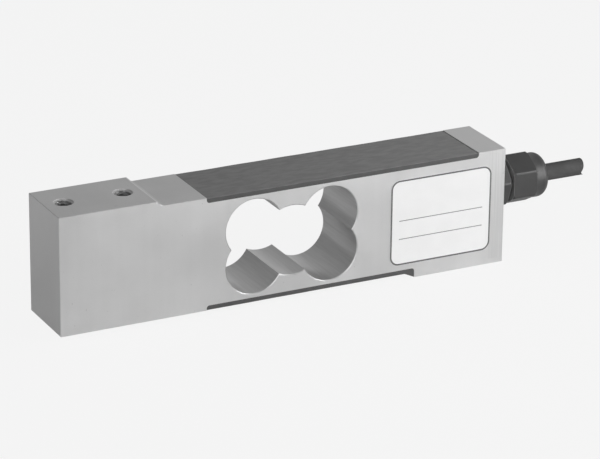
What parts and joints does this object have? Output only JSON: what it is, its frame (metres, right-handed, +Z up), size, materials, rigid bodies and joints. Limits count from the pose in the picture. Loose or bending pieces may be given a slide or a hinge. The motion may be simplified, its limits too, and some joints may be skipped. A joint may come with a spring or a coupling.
{
  "type": "single point load cell",
  "caption": "Bending beam load cell with a four lobed opening, potted strain gauges, two-hole pads on opposite faces and a cable gland in one end.",
  "frame": {"origin": "centre of the two tapped holes of the lower, fixed end pad, on the pad's face", "axes": "+X along the beam towards the cable end, +Y from the labelled side to the back, +Z up through the beam to the load end's pad"},
  "size_m": [0.1848, 0.0231, 0.0392],
  "materials": {
    "steel": "fine ground stainless steel, satin",
    "potting": "dark matt potting compound with fine lengthwise marks",
    "label_film": "white film with a thin grey border",
    "gauge_foil": "polyimide film with a metal foil grid",
    "board_laminate": "green glass fibre laminate",
    "solder_tin": "dull tinned solder",
    "resistor_body": "black chip with pale ends",
    "wire_enamel": "flat copper leads",
    "gland_plastic": "black moulded nylon",
    "gasket_rubber": "black rubber",
    "cable_jacket": "dark grey cable jacket",
    "shield_braid": "tinned copper braid",
    "core_green": "green insulation",
    "core_black": "black insulation",
    "core_white": "white insulation",
    "core_red": "red insulation",
    "conductor_copper": "bare copper strands"
  },
  "bodies": {
    "root": {"beam": "steel", "top_potting": "potting", "bottom_potting": "potting", "label": "label_film", "strain_gauge_top_load_end": "gauge_foil", "strain_gauge_top_cable_end": "gauge_foil", "strain_gauge_bottom_load_end": "gauge_foil", "strain_gauge_bottom_cable_end": "gauge_foil", "circuit_board": "board_laminate", "solder_joints": "solder_tin", "board_resistors": "resistor_body", "span_resistor": "resistor_body", "top_gauge_wires": "wire_enamel", "bottom_gauge_wires": "wire_enamel", "gland_body": "gland_plastic", "gland_nut": "gland_plastic", "gland_gasket": "gasket_rubber", "gland_seal": "gasket_rubber", "cable_sheath": "cable_jacket", "cable_shield": "shield_braid", "core_green": "core_green", "core_black": "core_black", "core_white": "core_white", "core_red": "core_red", "core_conductors": "conductor_copper"}
  },
  "joints": []
}
